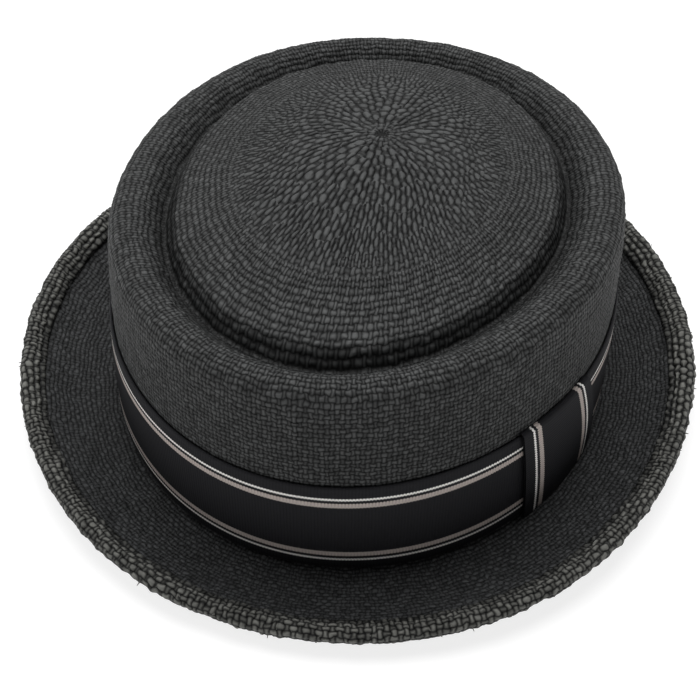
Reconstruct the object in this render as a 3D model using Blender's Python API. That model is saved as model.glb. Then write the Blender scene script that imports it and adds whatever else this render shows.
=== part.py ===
"""A porkpie hat of woven paper straw, with an overcast brim edge and a striped ribbon band.

Each piece is turned round the Z axis as if the head were round, then pressed to the
head's oval. Metres, +Z up, the front of the hat at -Y, the wearer's left at +X.
The hat rests on the underside of its brim at Z = 0.
"""
import math

import bmesh
import bpy
from mathutils import Vector

# Crown, outside sizes
HEAD_LENGTH = 0.2078
HEAD_WIDTH = 0.1734
CROWN_HEIGHT = 0.0784
CROWN_BULGE = 0.0008
CROWN_LEAN = 0.0021
LEAN_TOWARDS = math.radians(30)
OVAL_PLAY = 0.0014
STRAW_WALL = 0.0020

# Rim, groove and tip of the crown
RIM_ROUND = 0.0066
GROOVE_INSET_FRONT = 0.0160
GROOVE_INSET_SIDE = 0.0193
GROOVE_DEPTH = 0.0065
DOME_RISE = 0.0086

# Brim
BREAK_ROUND = 0.0012
BRIM_FLAT = 0.0040
BRIM_REACH = 0.0330
BRIM_RISE = 0.0150
BRIM_CURVE = 1.8

# Overcast edge, ribbon and the clearance between pieces that touch
EDGE_WALL = 0.0012
EDGE_DEPTH = 0.0065
RIBBON_WIDTH = 0.0380
RIBBON_THICKNESS = 0.0010
RIBBON_LIFT = 0.0001
KEEPER_AT = math.radians(61)
GAP = 0.0003

# Facets round the head, along a keeper, on a full rounding and up the crown wall
STEPS_ROUND = 60
STEPS_KEEPER = 6
STEPS_ARC = 4
STEPS_WALL = 3
STEPS_DOME = 5
STEPS_BRIM = 5

# Round the head from the front, through the wearer's left. The crown's foot and rim leave
# the true oval by a share of OVAL_PLAY; reach and rise are shares of the brim's sizes.
COLUMNS = ("degrees", "foot", "rim", "reach", "rise")
STATIONS = (
    (0, 0.05, 0.95, 0.98, 0.49),
    (45, 0.45, -0.95, 1.07, 0.69),
    (90, 0.05, 0.35, 0.98, 0.97),
    (135, -0.40, 0.45, 0.88, 0.95),
    (180, 0.10, -1.00, 0.88, 0.97),
    (225, -0.50, 1.00, 0.92, 0.96),
    (270, 1.00, -0.45, 1.03, 1.00),
    (315, -0.15, -0.35, 1.04, 0.71),
)

# The groove from the tip out to the rim. The inset is a share of the groove's inset from
# the crown's face, the level a share of its depth, 0 in the valley and 1 at the crest.
GROOVE_ROWS = (
    # name, inset, level
    ("dome edge", 1.50, 1.20),
    ("shoulder", 1.27, 1.00),
    ("tip wall", 1.12, 0.42),
    ("valley", 1.00, 0.00),
    ("rim slope", 0.84, 0.30),
    ("rim back", 0.60, 0.85),
)

# Worked out from the sizes above
HEAD_RADIUS = (HEAD_LENGTH + HEAD_WIDTH) / 4
HEAD_EXCESS = (HEAD_LENGTH - HEAD_WIDTH) / 4
GROOVE_INSET = (GROOVE_INSET_FRONT + GROOVE_INSET_SIDE) / 2
GROOVE_EXCESS = HEAD_EXCESS + (GROOVE_INSET_SIDE - GROOVE_INSET_FRONT) / 2
VALLEY_RADIUS = HEAD_RADIUS - GROOVE_INSET
WALL_FOOT = STRAW_WALL + BREAK_ROUND
WALL_TOP = CROWN_HEIGHT - RIM_ROUND
FLAT_RADIUS = HEAD_RADIUS + BREAK_ROUND + BRIM_FLAT
FLAT_REACH = FLAT_RADIUS - HEAD_RADIUS
BRIM_RUN = BRIM_REACH - FLAT_REACH
EDGE_HALF = STRAW_WALL / 2 + GAP + EDGE_WALL
RIBBON_FOOT = WALL_FOOT + RIBBON_LIFT
RIBBON_TOP = RIBBON_FOOT + RIBBON_WIDTH


def around(column, angle):
    """A column of STATIONS at this angle, on a smooth closed curve through its rows."""
    values = [row[COLUMNS.index(column)] for row in STATIONS]
    count = len(values)
    place = math.degrees(angle) % 360 / 360 * count
    row = int(place)
    t = place - row
    before, start, end, after = (values[(row + k) % count] for k in (-1, 0, 1, 2))
    return 0.5 * (2 * start + (end - before) * t
                  + (2 * before - 5 * start + 4 * end - after) * t * t
                  + (3 * start - before - 3 * end + after) * t * t * t)


def wall_share(z):
    """How far up the crown wall a height lies, 0 at its foot and 1 at its top."""
    return min(max((z - WALL_FOOT) / (WALL_TOP - WALL_FOOT), 0.0), 1.0)


def wall_radius(z):
    """The round crown's outside at a height, with its slight bulge."""
    share = wall_share(z)
    return HEAD_RADIUS + CROWN_BULGE * 4 * share * (1 - share)


def excess(radius):
    """How much longer than wide the pressed oval is at a radius of the round crown."""
    if radius >= HEAD_RADIUS:
        return HEAD_EXCESS
    if radius <= VALLEY_RADIUS:
        return GROOVE_EXCESS * radius / VALLEY_RADIUS
    share = (HEAD_RADIUS - radius) / GROOVE_INSET
    return HEAD_EXCESS + (GROOVE_EXCESS - HEAD_EXCESS) * share


def turn_up(radius, z, angle):
    """The brim outside its flat ring, bent up round the head from the flat disc."""
    along = radius - FLAT_RADIUS
    if along <= 0:
        return radius, z
    edge_start = BRIM_RUN - EDGE_DEPTH
    run = BRIM_REACH * around("reach", angle) - FLAT_REACH
    stretch = (run - EDGE_DEPTH) / edge_start
    out = stretch * min(along, edge_start) + max(along - edge_start, 0.0)
    share = out / run
    rise = BRIM_RISE * around("rise", angle)
    slope = rise / run * BRIM_CURVE * share ** (BRIM_CURVE - 1)
    offset = (z - STRAW_WALL / 2) / math.hypot(slope, 1)
    up = STRAW_WALL / 2 + rise * share ** BRIM_CURVE + offset
    return FLAT_RADIUS + out - offset * slope, up


def press(co):
    """A point of the round hat, pressed to the head's oval with its lean and its play."""
    angle = math.atan2(co.x, -co.y)
    radius = math.hypot(co.x, co.y)
    share = wall_share(co.z)
    inward = min(radius / HEAD_RADIUS, 1.0)
    foot = around("foot", angle)
    rim = around("rim", angle)
    play = OVAL_PLAY * (foot + (rim - foot) * share) * inward
    oval = excess(radius)
    radius, z = turn_up(radius, co.z, angle)
    z += CROWN_LEAN * share * inward * math.cos(angle - LEAN_TOWARDS)
    x = (radius + play - oval) * math.sin(angle)
    y = -(radius + play + oval) * math.cos(angle)
    return x, y, z


def middle_of_brim():
    """Where the middle of the pressed brim's outline falls, front to back and side to side."""
    nose = HEAD_RADIUS + BRIM_REACH
    angles = [2 * math.pi * k / STEPS_ROUND for k in range(STEPS_ROUND)]
    outline = [press(Vector((nose * math.sin(a), -nose * math.cos(a), STRAW_WALL / 2)))
               for a in angles]
    across = [x for x, _, _ in outline]
    along = [y for _, y, _ in outline]
    return Vector(((min(across) + max(across)) / 2, (min(along) + max(along)) / 2, 0))


def arc(centre, radius, start, end, steps):
    """Points on an arc in the profile plane, angles in degrees from +R towards +Z."""
    angles = [math.radians(start + (end - start) * k / steps) for k in range(steps + 1)]
    return [(centre[0] + radius * math.cos(a), centre[1] + radius * math.sin(a)) for a in angles]


def outer_profile():
    """The hood's outer face, from the middle of the tip to the end of the brim."""
    crest = CROWN_HEIGHT
    valley = crest - GROOVE_DEPTH
    groove = [(HEAD_RADIUS - inset * GROOVE_INSET, valley + level * GROOVE_DEPTH)
              for _, inset, level in GROOVE_ROWS]
    edge_radius, edge_level = groove[0]
    dome = [(edge_radius * k / STEPS_DOME, edge_level + DOME_RISE * (1 - (k / STEPS_DOME) ** 2))
            for k in range(STEPS_DOME)]
    rim = arc((HEAD_RADIUS - RIM_ROUND, crest - RIM_ROUND), RIM_ROUND, 90, 0, STEPS_ARC)
    heights = [WALL_TOP + (WALL_FOOT - WALL_TOP) * k / STEPS_WALL for k in range(1, STEPS_WALL)]
    wall = [(wall_radius(z), z) for z in heights]
    fold = arc((HEAD_RADIUS + BREAK_ROUND, WALL_FOOT), BREAK_ROUND, 180, 270, STEPS_ARC // 2)
    end = HEAD_RADIUS + BRIM_REACH - EDGE_WALL - GAP
    brim = [(FLAT_RADIUS + (end - FLAT_RADIUS) * k / STEPS_BRIM, STRAW_WALL)
            for k in range(STEPS_BRIM + 1)]
    return dome + groove + rim + wall + fold + brim


def inner_profile(outer, wall):
    """The same line one wall further in, each edge parallel to the outer one."""
    inner = []
    for k, (radius, z) in enumerate(outer):
        before = outer[max(k - 1, 0)]
        after = outer[min(k + 1, len(outer) - 1)]
        first = unit(radius - before[0], z - before[1]) or unit(after[0] - radius, 0)
        last = unit(after[0] - radius, after[1] - z) or unit(radius - before[0], z - before[1])
        if k == 0:
            last = first
        side = unit(first[1] + last[1], -first[0] - last[0])
        reach = wall / (side[0] * first[1] - side[1] * first[0])
        inner.append((radius + side[0] * reach, z + side[1] * reach))
    return inner


def unit(a, b):
    """The direction of a step in the profile plane, or None for no step."""
    length = math.hypot(a, b)
    return (a / length, b / length) if length else None


def material(name, colour, roughness):
    """A plain dry surface in one colour."""
    new = bpy.data.materials.new(name)
    new.use_nodes = True
    shader = new.node_tree.nodes["Principled BSDF"]
    shader.inputs["Base Color"].default_value = (*colour, 1.0)
    shader.inputs["Roughness"].default_value = roughness
    shader.inputs["Metallic"].default_value = 0.0
    return new


def add_object(name, mesh_shape, surface):
    """Press a turned shape to the head's oval and add it under its name."""
    bmesh.ops.remove_doubles(mesh_shape, verts=mesh_shape.verts, dist=1e-6)
    middle = middle_of_brim()
    for vert in mesh_shape.verts:
        vert.co = Vector(press(vert.co)) - middle
    bmesh.ops.recalc_face_normals(mesh_shape, faces=mesh_shape.faces)
    mesh = bpy.data.meshes.new(name)
    mesh_shape.to_mesh(mesh)
    mesh_shape.free()
    mesh.materials.append(surface)
    mesh.shade_smooth()
    mesh.set_sharp_from_angle(angle=math.radians(50))
    bpy.context.collection.objects.link(bpy.data.objects.new(name, mesh))


def turned(profile, closed, sweep, steps, start=0.0):
    """A profile at the front, spun round Z through an angle; a closed one is a section."""
    shape = bmesh.new()
    line = [shape.verts.new((radius * math.sin(start), -radius * math.cos(start), z))
            for radius, z in profile]
    pairs = zip(line, line[1:] + line[:1] if closed else line[1:])
    edges = [shape.edges.new(pair) for pair in pairs]
    full = math.isclose(sweep, 2 * math.pi)
    bmesh.ops.spin(shape, geom=line + edges, axis=(0, 0, 1), cent=(0, 0, 0), angle=sweep,
                   steps=steps, use_merge=full)
    return shape


def straw_body(surface):
    """Crown and brim, one hood woven in one piece."""
    outer = outer_profile()
    inner = inner_profile(outer, STRAW_WALL)
    inner[0] = (0.0, inner[0][1])
    shape = turned(outer + inner[::-1], False, 2 * math.pi, STEPS_ROUND)
    add_object("straw_body", shape, surface)


def edge_binding(surface):
    """The overcast edge, a channel that wraps the end of the brim."""
    middle = STRAW_WALL / 2
    end = HEAD_RADIUS + BRIM_REACH
    start = end - EDGE_DEPTH
    slot = STRAW_WALL / 2 + GAP
    ease = (EDGE_HALF - slot) / 2
    nose = arc((end - EDGE_HALF, middle), EDGE_HALF, 90, -90, STEPS_ARC + 2)
    lower = [(start + ease, middle - EDGE_HALF), (start, middle - EDGE_HALF + ease),
             (start, middle - slot), (end - EDGE_WALL, middle - slot)]
    upper = [(radius, 2 * middle - z) for radius, z in reversed(lower)]
    shape = turned(nose + lower + upper, True, 2 * math.pi, STEPS_ROUND)
    add_object("edge_binding", shape, surface)


def hatband(surface):
    """The ribbon round the crown's foot, closed under the keeper."""
    heights = [RIBBON_FOOT, (RIBBON_FOOT + RIBBON_TOP) / 2, RIBBON_TOP]
    inner = [(wall_radius(z) + GAP, z) for z in heights]
    outer = [(radius + RIBBON_THICKNESS, z) for radius, z in inner]
    shape = turned(inner + outer[::-1], True, 2 * math.pi, STEPS_ROUND)
    add_object("hatband", shape, surface)


def band_keeper(surface):
    """A piece of the same ribbon, upright over the band, its top curled over the band."""
    foot = STRAW_WALL + GAP
    under = RIBBON_TOP + GAP
    heights = [foot, (foot + under) / 2, under]
    inner = [(wall_radius(z) + 2 * GAP + RIBBON_THICKNESS, z) for z in heights]
    lip = [(wall_radius(under) + GAP, under), (wall_radius(under) + GAP, under + RIBBON_THICKNESS)]
    curl = arc((inner[-1][0], under), RIBBON_THICKNESS, 90, 0, STEPS_ARC // 2)
    outer = [(radius + RIBBON_THICKNESS, z) for radius, z in inner[:-1]]
    radius = HEAD_RADIUS + HEAD_EXCESS * math.cos(2 * KEEPER_AT)
    sweep = RIBBON_WIDTH / radius
    shape = turned(inner + lip + curl + outer[::-1], True, sweep, STEPS_KEEPER,
                   KEEPER_AT - sweep / 2)
    ends = [edge for edge in shape.edges if edge.is_boundary]
    bmesh.ops.holes_fill(shape, edges=ends)
    add_object("band_keeper", shape, surface)


def main():
    for old in list(bpy.data.objects):
        bpy.data.objects.remove(old)
    straw = material("woven_paper_straw", (0.040, 0.043, 0.041), 0.75)
    straw_edge = material("overcast_straw", (0.090, 0.090, 0.086), 0.8)
    ribbon = material("grosgrain_ribbon", (0.008, 0.009, 0.012), 0.6)
    straw_body(straw)
    edge_binding(straw_edge)
    hatband(ribbon)
    band_keeper(ribbon)


main()
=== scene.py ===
"""A porkpie hat of woven paper straw with an overcast brim edge and a striped ribbon.

The straw is modelled strand by strand: every straw piece is a sheet whose columns run
along the radial strands and whose rows run along the round ones, and one weave rule
lifts it and colours it. Metres, +Z up, the front of the hat at -Y.
"""

import math

import bmesh
import bpy
import numpy as np
from bpy.props import FloatProperty, FloatVectorProperty, IntProperty, PointerProperty
from bpy.types import Operator, Panel, PropertyGroup
from mathutils import Matrix, Vector


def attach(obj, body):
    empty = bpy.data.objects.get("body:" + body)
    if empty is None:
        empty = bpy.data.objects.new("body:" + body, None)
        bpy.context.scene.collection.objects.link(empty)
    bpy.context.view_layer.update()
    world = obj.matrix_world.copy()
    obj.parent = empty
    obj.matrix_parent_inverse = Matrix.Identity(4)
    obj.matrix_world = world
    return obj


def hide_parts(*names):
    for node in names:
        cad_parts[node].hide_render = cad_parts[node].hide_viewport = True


bl_info = {
    "name": "Porkpie hat",
    "version": (1, 0, 0),
    "blender": (4, 5, 0),
    "location": "3D View > Sidebar > Hat",
    "description": "Builds a woven straw porkpie hat with its ribbon, edge and studio",
    "category": "Object",
}

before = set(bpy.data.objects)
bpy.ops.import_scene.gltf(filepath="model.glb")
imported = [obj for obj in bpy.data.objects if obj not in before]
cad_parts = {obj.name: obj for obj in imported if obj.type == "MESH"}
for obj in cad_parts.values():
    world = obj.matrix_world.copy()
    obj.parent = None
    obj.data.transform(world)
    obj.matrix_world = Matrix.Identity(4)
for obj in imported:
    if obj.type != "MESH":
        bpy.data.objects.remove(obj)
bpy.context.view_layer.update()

# Round the head from the front, through the wearer's left: how far the crown's foot and
# rim leave the true oval, and how far the brim reaches and rises, as shares of its sizes
COLUMNS = ("degrees", "foot", "rim", "reach", "rise")
STATIONS = (
    (0, 0.05, 0.95, 0.98, 0.49),
    (45, 0.45, -0.95, 1.07, 0.69),
    (90, 0.05, 0.35, 0.98, 0.97),
    (135, -0.40, 0.45, 0.88, 0.95),
    (180, 0.10, -1.00, 0.88, 0.97),
    (225, -0.50, 1.00, 0.92, 0.96),
    (270, 1.00, -0.45, 1.03, 1.00),
    (315, -0.15, -0.35, 1.04, 0.71),
)

# The groove from the tip out to the rim, inset and level as shares of the groove's sizes
GROOVE_ROWS = (
    ("dome edge", 1.50, 1.20),
    ("shoulder", 1.27, 1.00),
    ("tip wall", 1.12, 0.42),
    ("valley", 1.00, 0.00),
    ("rim slope", 0.84, 0.30),
    ("rim back", 0.60, 0.85),
)

# How many radial strands the tip holds from each share of its reach outwards. The maker
# lays in new strands as the tip widens, so that they stay about 2 mm apart.
TIP_STRANDS = (
    (0.00, 12),
    (0.035, 16),
    (0.055, 22),
    (0.090, 30),
    (0.140, 46),
    (0.210, 68),
    (0.310, 98),
    (0.430, 136),
    (0.560, 190),
    (0.700, 276),
)

# The share of the tip's reach where its middle ends and its finer border begins
RINGS_MEET = 0.700

# The shares of the tip's reach between which its row pitch changes
PITCH_SHARES = (0.0, 0.30, 0.50, 0.72)

# Points of the dome's line, steps of the crown's line between two points, the height on
# the wall where columns are evenly spaced, and rounds to find a place in the plan
DOME_POINTS = 9
LINE_FILL = 24
EVEN_HEIGHT = 0.055
PLAN_ROUNDS = 8

# Steps of the crown's line that the side runs on under the tip, and how far it lies lower
TUCK_STEPS = 10
TUCK_DROP = 0.0006

# The share of the tip's reach out to which its weave follows its pole more than its border
POLE_LEADS = 0.6

# The shares of the tip's reach between which new strands come in along even rings
RINGS_EVEN_FROM = 0.40
RINGS_EVEN_AT = 0.66

# How unevenly new strands come in nearer the pole: share, waves round it, turn for a row
RINGS_UNEVEN = ((0.10, 3, 0.05), (0.07, 11, 0.0))

# The shares of the tip's reach between which radial strands rise to the top and sink again
RADIAL_RISE = (0.02, 0.10)
RADIAL_SINK = (0.56, 0.80)

# Shares of the tip's reach over which strands come to rest at the pole, and over which the
# weave levels out where the two rings meet
POLE_REST = 0.05
RINGS_LEVEL = 0.025

# How much painted shade darkens the weave's gaps in the groove, and half the width of that shade
GROOVE_SHADE = 0.4
GROOVE_REACH = 0.0045

# The woven floats in strands and rows: how long and wide each is, how a cover of 1 changes
# that, how much chance lifts one over the next, and where the first float of a strand lies
FLOAT_LENGTH = 1.0
FLOAT_WIDTH = 0.62
COVER_LENGTH = 0.30
COVER_WIDTH = -0.09
COVER_RISE = 0.30
CHANCE_RISE = 0.24
WARP_START = 0.25
WEFT_START = 0.75

# How far strands and rows stray from their lines: share of a pitch, size in metres, seed
STRAND_STRAY = ((0.10, 0.008, 3), (0.07, 0.0018, 4))
ROW_STRAY = ((0.12, 0.008, 5), (0.09, 0.0018, 6))

# Thick and thin places along the straw, and the height of the weave that lies on its sheet
SLUB = (0.25, 0.004, 8)
SHEET_LEVEL = 0.55

# Covers of the side and the brim, that of tip and edge before it varies, and how much, over
# how many metres and with which seed the edge varies
SIDE_COVER = -0.1
BRIM_COVER = -0.3
BASE_COVER = -0.2
EDGE_COVER = (0.3, 0.02, 21)

# Relief of brim and edge as shares of the crown's, and the edge's in its material
BRIM_RELIEF = 0.8
EDGE_RELIEF = 1.6
EDGE_BUMP = 1.5

# The painted shade in the seams between floats, 1 for no seam
CROWN_SEAM = 0.3
BRIM_SEAM = 0.5
EDGE_SEAM = 0.12

# How dark the edge's first row is, and metres over which the weave flattens out under the
# band and under the edge
EDGE_DARK = 0.34
FLAT_AT_BAND = 0.002
FLAT_AT_EDGE = 0.001

# Meshes of the straw: columns round, rows of faces across and rows to one on the inside
MESHES = {
    "straw_tip_middle": (768, 88, 11),
    "straw_tip_border": (1000, 66, 11),
    "straw_crown": (1200, 116, 11),
    "straw_brim": (1250, 44, 5),
    "straw_edge": (1400, 42, 3),
}

# Columns and rows of the ribbon's faces, and the skin's share of its thickness at its edges
BAND_MESH = (400, 30)
KEEPER_MESH = (48, 24)
EDGE_SKIN = (0.55, 0.92)

# Points nearer than this are one, in metres
SAME_POINT = 2e-7

# Creases of the paper and threads of the ribbon, wider than real ones so that they show
CREASE_WIDTH_MM = 0.45
CREASE_LENGTH_MM = 5.0
THREAD_SCALE = (0.4, 3.3, 1.0)

# Frays: metres from the hat's end to a root inside it and to a point outside it, highest
# place and spread over the edge's thickness, stray of their direction, length of the least
FRAY_ROOT = 0.0004
FRAY_OUT = 0.001
FRAY_TOP = 1.1
FRAY_SPREAD = 1.4
FRAY_STRAY = 0.7
FRAY_LEAST = 0.4

# Matt surfaces reflect this little
MATT = 0.2

TAU = 2 * math.pi


def length(name, default, description):
    """A size in metres."""
    return FloatProperty(name=name, description=description, default=default, min=0.0,
                         soft_max=1.0, precision=4, unit="LENGTH")


def count(name, default, description):
    """A number of like things."""
    return IntProperty(name=name, description=description, default=default, min=4)


def linear(colour):
    """An sRGB hex colour as the linear values that Blender works in."""
    parts = [int(colour[k:k + 2], 16) / 255 for k in (1, 3, 5)]
    return [c / 12.92 if c <= 0.04045 else ((c + 0.055) / 1.055) ** 2.4 for c in parts]


def tint(name, colour, description):
    """A colour that the user can change, its default an sRGB hex value."""
    return FloatVectorProperty(name=name, description=description, default=linear(colour),
                               min=0.0, max=1.0, size=3, subtype="COLOR")


class HatSizes(PropertyGroup):
    """The hat's outline, the same sizes as the part's."""

    head_length: length("Head length", 0.2078, "Crown outside, front to back")
    head_width: length("Head width", 0.1734, "Crown outside, side to side")
    crown_height: length("Crown height", 0.0784, "From the resting surface to the crest")
    crown_bulge: length("Crown bulge", 0.0008, "How far the crown wall bellies out")
    crown_lean: length("Crown lean", 0.0021, "How far the top leans down and up again")
    lean_at: FloatProperty(name="Lean at", default=math.radians(30), subtype="ANGLE",
                           description="The lowest side of the leaning top")
    oval_play: length("Oval play", 0.0014, "The largest dent off the true oval")
    straw_wall: length("Straw wall", 0.0020, "Thickness of the woven hood")
    rim_round: length("Rim round", 0.0066, "Radius of the crown's upper edge")
    groove_inset_front: length("Groove inset, front", 0.0160, "Crown face to valley")
    groove_inset_side: length("Groove inset, side", 0.0193, "Crown face to valley")
    groove_depth: length("Groove depth", 0.0065, "Crest to valley")
    dome_rise: length("Dome rise", 0.0086, "Height of the domed tip over its edge")
    break_round: length("Break round", 0.0012, "Radius where the brim leaves the crown")
    brim_flat: length("Brim flat", 0.0040, "Flat ring that the hat rests on")
    brim_reach: length("Brim reach", 0.0330, "Width of the brim")
    brim_rise: length("Brim rise", 0.0150, "How far the brim turns up at the back")
    brim_curve: FloatProperty(name="Brim curve", default=1.8, min=1.0,
                              description="1 turns the brim up straight, more bends it")
    edge_wall: length("Edge wall", 0.0012, "Thickness of the overcast edge")
    edge_depth: length("Edge depth", 0.0065, "How far the overcasting reaches in")
    gap: length("Gap", 0.0003, "Clearance between pieces that touch")


class WeaveSizes(PropertyGroup):
    """The straw's strands and rows."""

    strands: count("Strands round the tip", 276, "Radial strands at the tip's border")
    side_strands: count("Strands round the side", 380, "Upright strands at the crown wall")
    pole_pitch: length("Pole row pitch", 0.0024, "Round strands near the weave's middle")
    dome_pitch: length("Dome row pitch", 0.0033, "Round strands halfway out on the tip")
    tip_pitch: length("Tip row pitch", 0.0029, "Round strands on the outer tip")
    rim_pitch: length("Rim row pitch", 0.0023, "Round strands at the crest")
    wall_pitch: length("Wall row pitch", 0.0016, "Round strands over the band")
    brim_strands: count("Strands round the brim", 470, "Radial strands on the brim")
    brim_pitch: length("Brim row pitch", 0.0015, "Round strands on the brim")
    edge_strands: count("Edge stitches", 400, "Half stitches round the overcast edge")
    chain_pitch: length("Edge chain", 0.0020, "Row of stitches along the brim")
    edge_pitch: length("Edge row pitch", 0.0019, "Overcast rows over the edge")
    frays: count("Frays", 120, "Broken straw ends that stand off the edge")
    fray_length: length("Fray length", 0.0019, "Longest fray")
    fray_round: length("Fray thickness", 0.0005, "A broken strand's width")
    relief: length("Relief", 0.00042, "Height of a strand over the gap beside it")
    pole_back: length("Pole back", 0.0175, "How far the weave's middle lies to the back")
    pole_side: length("Pole side", 0.0013, "How far it lies to the wearer's left")
    pole_round: length("Pole dimple", 0.0014, "Radius of the small dimple at the middle")
    pole_dip: length("Pole dip", 0.0012, "Depth of that dimple")
    overlap: length("Overlap", 0.0050, "How far the side and brim run on behind the band")


class RibbonSizes(PropertyGroup):
    """The striped ribbon of the band and its keeper."""

    width: length("Width", 0.0380, "Ribbon width")
    thickness: length("Thickness", 0.0010, "Ribbon with its fold and its glue line")
    lift: length("Lift", 0.0001, "Height of the band's foot over the brim's fold")
    margin: length("Margin", 0.0046, "Plain black strip along each edge")
    line: length("Line", 0.00082, "Off-white line")
    space: length("Space", 0.0013, "Black between the line and the stripe")
    stripe: length("Stripe", 0.0019, "Taupe stripe")
    rib: length("Rib", 0.00105, "Pitch of the grosgrain's cross ribs")
    keeper_at: FloatProperty(name="Keeper at", default=math.radians(60), subtype="ANGLE",
                             description="Angle from the front to the wearer's left")
    keeper_tilt: length("Keeper tilt", 0.0040, "How far its top leans to the front")
    keeper_slack: length("Keeper slack", 0.0007, "How far it bows out at half height")
    keeper_pinch: length("Keeper pinch", 0.0050, "How far its rear top corner is drawn in")


class HatColours(PropertyGroup):
    """Colours of the straw and the ribbon."""

    straw_light: tint("Straw, raised", "#4a4b4b", "Tops of the strands")
    # The gaps' colour is painted shade: the weave darkens towards it where it sinks
    gap_shade: tint("Straw, sunk", "#070808", "Gaps between the strands")
    # The brim's straw is darker than the crown's, partly its own tone and partly painted shade
    # where the crown shades the brim
    brim_light: tint("Brim, raised", "#3f4041", "Tops of the strands on the brim")
    edge_light: tint("Edge, raised", "#6a6a66", "Overcast edge")
    ribbon_black: tint("Ribbon ground", "#1d1d20", "Ribbon's ground")
    ribbon_line: tint("Ribbon line", "#f1eeea", "Thin off-white line")
    ribbon_stripe: tint("Ribbon stripe", "#b9aea8", "Taupe stripe")
    floor: tint("Floor", "#949494", "Studio floor")


def smooth_line(points, fill):
    """A smooth line through a few points, with fill steps between neighbours."""
    points = np.array(points, float)
    points = np.vstack([2 * points[0] - points[1], points, 2 * points[-1] - points[-2]])
    steps = np.linalg.norm(np.diff(points, axis=0), axis=1) ** 0.5
    knots = np.concatenate([[0.0], np.cumsum(steps)])
    line = []
    for k in range(1, len(points) - 2):
        t = np.linspace(knots[k], knots[k + 1], fill, endpoint=False)[:, None]
        near = [blend(points[m], points[m + 1], knots[m], knots[m + 1], t)
                for m in (k - 1, k, k + 1)]
        far = [blend(near[m], near[m + 1], knots[k - 1 + m], knots[k + 1 + m], t)
               for m in (0, 1)]
        line.append(blend(far[0], far[1], knots[k], knots[k + 1], t))
    return np.vstack(line + [points[-2:-1]])


def blend(first, last, start, end, t):
    """first at start, last at end, and in between by share."""
    return first + (last - first) * (t - start) / (end - start)


def ease(t):
    """0 to 1 with flat ends."""
    t = np.clip(t, 0.0, 1.0)
    return t * t * (3 - 2 * t)


def distances(line):
    """How far each point of a line lies from its first, measured along the line."""
    return np.concatenate([[0.0], np.cumsum(np.linalg.norm(np.diff(line, axis=0), axis=1))])


def arc(across, up, radius, degrees):
    """Points of an arc round a centre, by their angles over the outward direction."""
    return [(across + radius * math.cos(a), up + radius * math.sin(a))
            for a in np.radians(degrees)]


def evenly(line, pieces):
    """A line cut at even steps along its length, and the distance of each cut."""
    run = distances(line)
    cuts = np.linspace(0.0, run[-1], pieces + 1)
    return np.column_stack([np.interp(cuts, run, line[:, k]) for k in (0, 1)]), cuts


def drift(points, size, seed):
    """Smooth random values between about -1 and 1 that change over a size in metres."""
    number, crowding, spread = 24, 2.2, 3.5
    rng = np.random.default_rng(seed)
    waves = rng.normal(size=(number, 3)) / size * crowding
    turns = rng.uniform(0, TAU, number)
    values = np.zeros(points.shape[:-1])
    for wave, turn in zip(waves, turns):
        values += np.sin(points @ wave + turn)
    return values / spread


def stray(points, waves):
    """The sum of several drifts, each given as its share, its size and its seed."""
    return sum(share * drift(points, size, seed) for share, size, seed in waves)


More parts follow.
